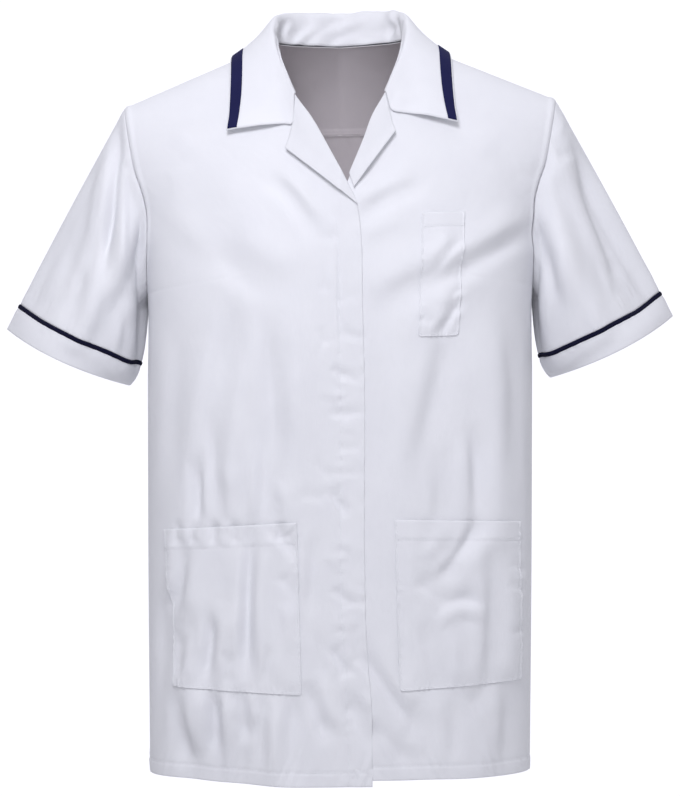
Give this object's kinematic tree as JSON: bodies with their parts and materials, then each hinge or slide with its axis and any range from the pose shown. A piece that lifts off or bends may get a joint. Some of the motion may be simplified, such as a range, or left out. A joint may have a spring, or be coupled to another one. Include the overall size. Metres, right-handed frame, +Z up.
{
  "type": "medical tunic",
  "caption": "White short-sleeved medical tunic with revere collar, concealed front, navy collar and sleeve trims and patch pockets, in its hollow worn form.",
  "frame": {"origin": "between the shoulders, level with the neck points, where a wearer carries the garment", "axes": "+Z up out of the neck, +X towards the garment's own left sleeve, the front faces -Y"},
  "size_m": [0.6862, 0.2421, 0.7903],
  "materials": {
    "cloth_white": "matt white polyester and cotton poplin",
    "trim_navy": "matt navy woven trim"
  },
  "bodies": {
    "root": {"front_right": "cloth_white", "front_left": "cloth_white", "back_yoke": "cloth_white", "back": "cloth_white", "collar": "cloth_white", "collar_trim": "trim_navy", "lapel_right": "cloth_white", "lapel_left": "cloth_white", "sleeve_right": "cloth_white", "sleeve_left": "cloth_white", "sleeve_piping_right": "trim_navy", "sleeve_piping_left": "trim_navy", "cuff_right": "cloth_white", "cuff_left": "cloth_white", "pocket_lower_right": "cloth_white", "pocket_lower_left": "cloth_white", "pocket_chest": "cloth_white"}
  },
  "joints": []
}
